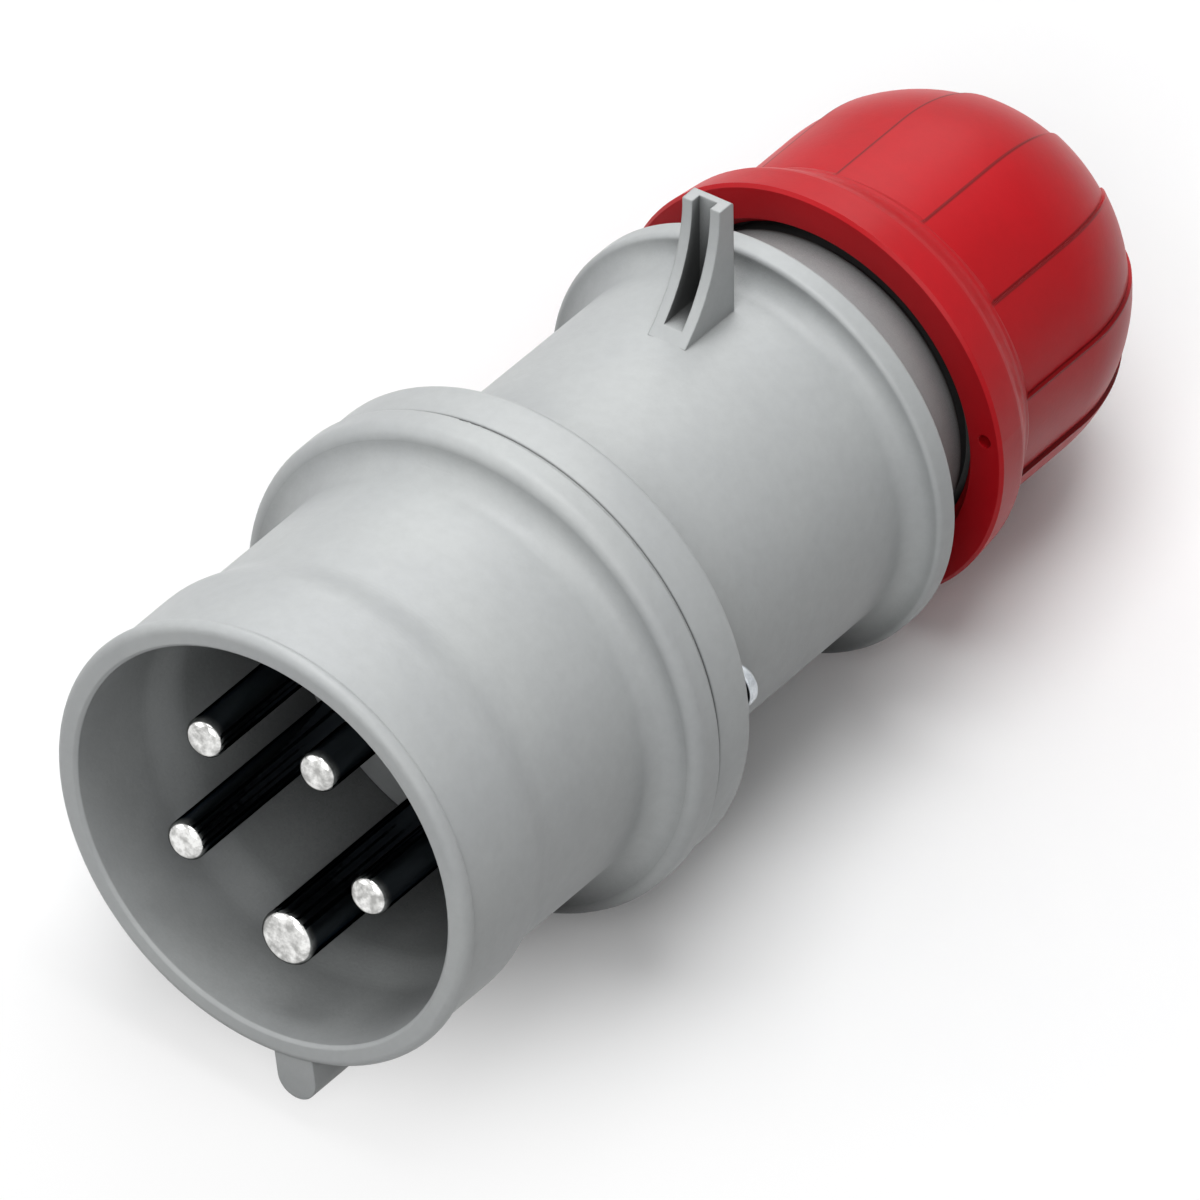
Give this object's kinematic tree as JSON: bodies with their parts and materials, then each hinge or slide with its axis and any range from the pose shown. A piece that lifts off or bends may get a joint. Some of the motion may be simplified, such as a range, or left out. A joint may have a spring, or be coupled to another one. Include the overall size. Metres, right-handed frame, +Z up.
{
  "type": "industrial pin and sleeve plug",
  "caption": "Straight five-pole industrial plug with a keyed round sleeve round its pins, a flanged housing and a screw cap over the cord gland.",
  "frame": {"origin": "on the plug's axis in the plane of the sleeve's mouth", "axes": "+Y from the mouth to the cord end, +Z up as the plug lies on its flange, cap and rib"},
  "size_m": [0.0634, 0.1462, 0.0665],
  "materials": {
    "grey_polyamide": "satin moulded polyamide",
    "red_polyamide": "satin moulded polyamide",
    "dark_polyamide": "matt moulded polyamide",
    "nickel_plated_brass": "turned brass with bright nickel plating",
    "zinc_plated_steel": "bright zinc plating",
    "black_rubber": "matt rubber"
  },
  "bodies": {
    "plug": {"front_shroud": "grey_polyamide", "pin_carrier": "dark_polyamide", "contact_retainer": "dark_polyamide", "retainer_screw": "zinc_plated_steel", "pin_earth": "nickel_plated_brass", "pin_neutral": "nickel_plated_brass", "pin_line_1": "nickel_plated_brass", "pin_line_2": "nickel_plated_brass", "pin_line_3": "nickel_plated_brass", "terminal_screw_earth": "zinc_plated_steel", "terminal_screw_neutral": "zinc_plated_steel", "terminal_screw_line_1": "zinc_plated_steel", "terminal_screw_line_2": "zinc_plated_steel", "terminal_screw_line_3": "zinc_plated_steel", "housing": "grey_polyamide", "housing_screw_right": "zinc_plated_steel", "housing_screw_left": "zinc_plated_steel", "grommet": "black_rubber", "cord_grip": "dark_polyamide"},
    "slip": {"pressure_ring": "dark_polyamide"},
    "cap": {"cap": "red_polyamide"}
  },
  "joints": [
    {"name": "cap_travel", "type": "slide", "parent": "plug", "child": "slip", "axis": [0, 1, 0], "range_m": [-0.006, 0.0075]},
    {"name": "cap_turn", "type": "hinge", "parent": "slip", "child": "cap", "pos_m": [0, 0.105, 0], "axis": [0, 1, 0], "range_deg": [-720, 900]}
  ],
  "couplings": [
    {"joint": "cap_travel", "follows": "cap_turn", "m_per_rad": 0.00047746}
  ]
}
